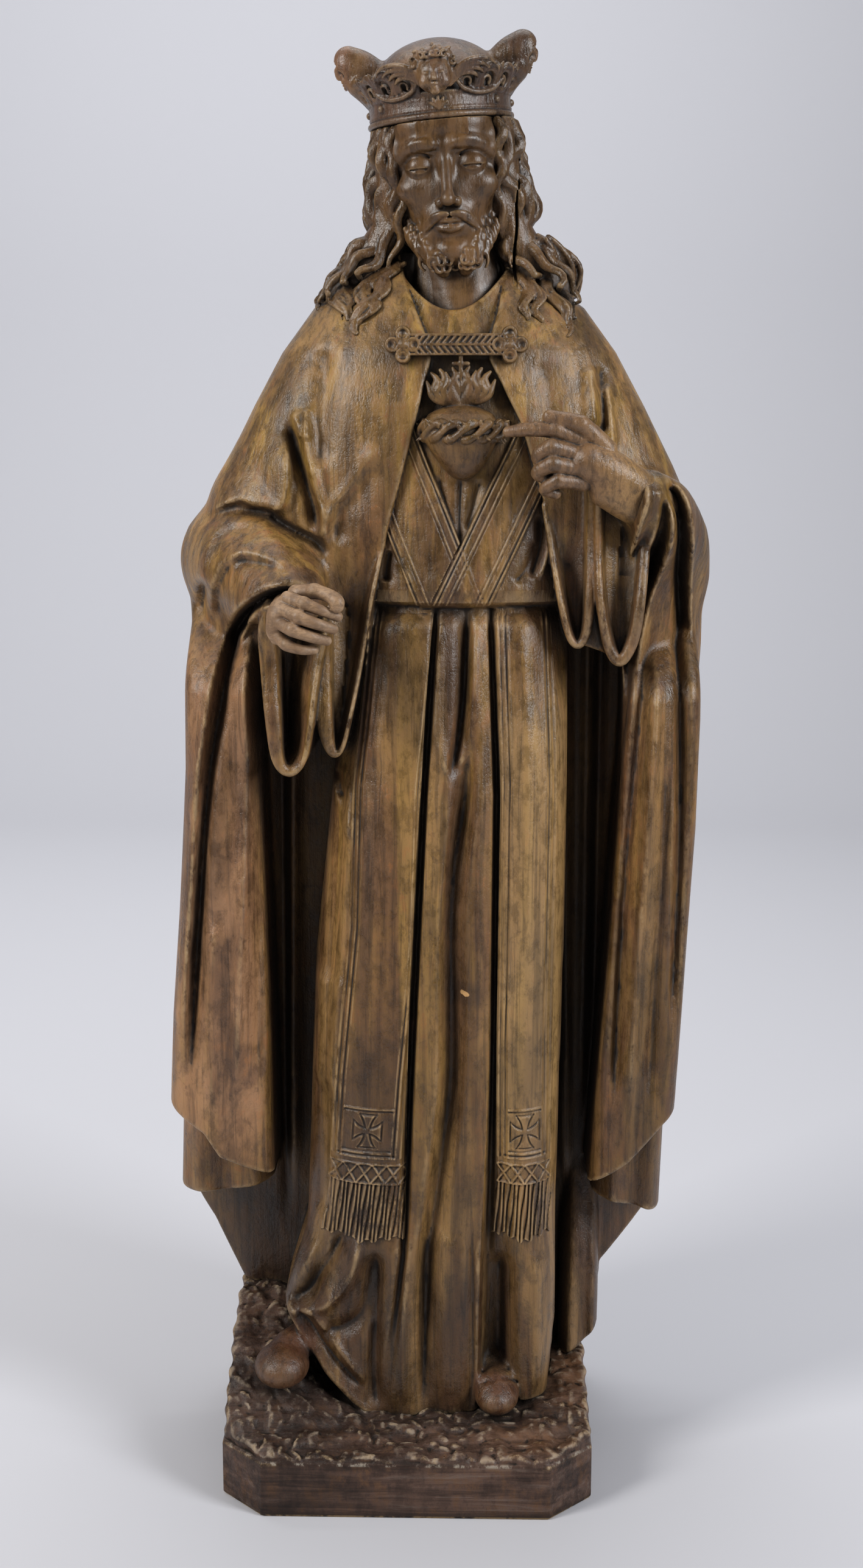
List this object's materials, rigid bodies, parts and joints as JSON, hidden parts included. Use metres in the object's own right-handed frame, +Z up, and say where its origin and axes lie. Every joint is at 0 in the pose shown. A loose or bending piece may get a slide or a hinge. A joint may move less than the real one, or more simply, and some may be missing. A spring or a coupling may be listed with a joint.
{
  "type": "carved wooden statue of a standing crowned saint",
  "caption": "Standing crowned and bearded figure in a long robe, stole and cope, a heart on the breast, on a low plinth with cut corners.",
  "frame": {"origin": "middle of the plinth's underside", "axes": "+Z up, the figure faces -Y, its right hand is toward -X"},
  "size_m": [0.637, 0.4345, 1.6931],
  "materials": {
    "plinth_wood": "dark brown stain worn grey at the edges, satin",
    "figure_wood": "aged brown patina with ochre and reddish areas, satin",
    "crown_wood": "dark brown patina worn grey on the ridges, satin",
    "bare_wood": "pale unstained wood, matt"
  },
  "bodies": {
    "root": {"plinth": "plinth_wood", "figure": "figure_wood", "crown": "crown_wood", "right_hand": "bare_wood", "left_hand": "figure_wood"}
  },
  "joints": []
}
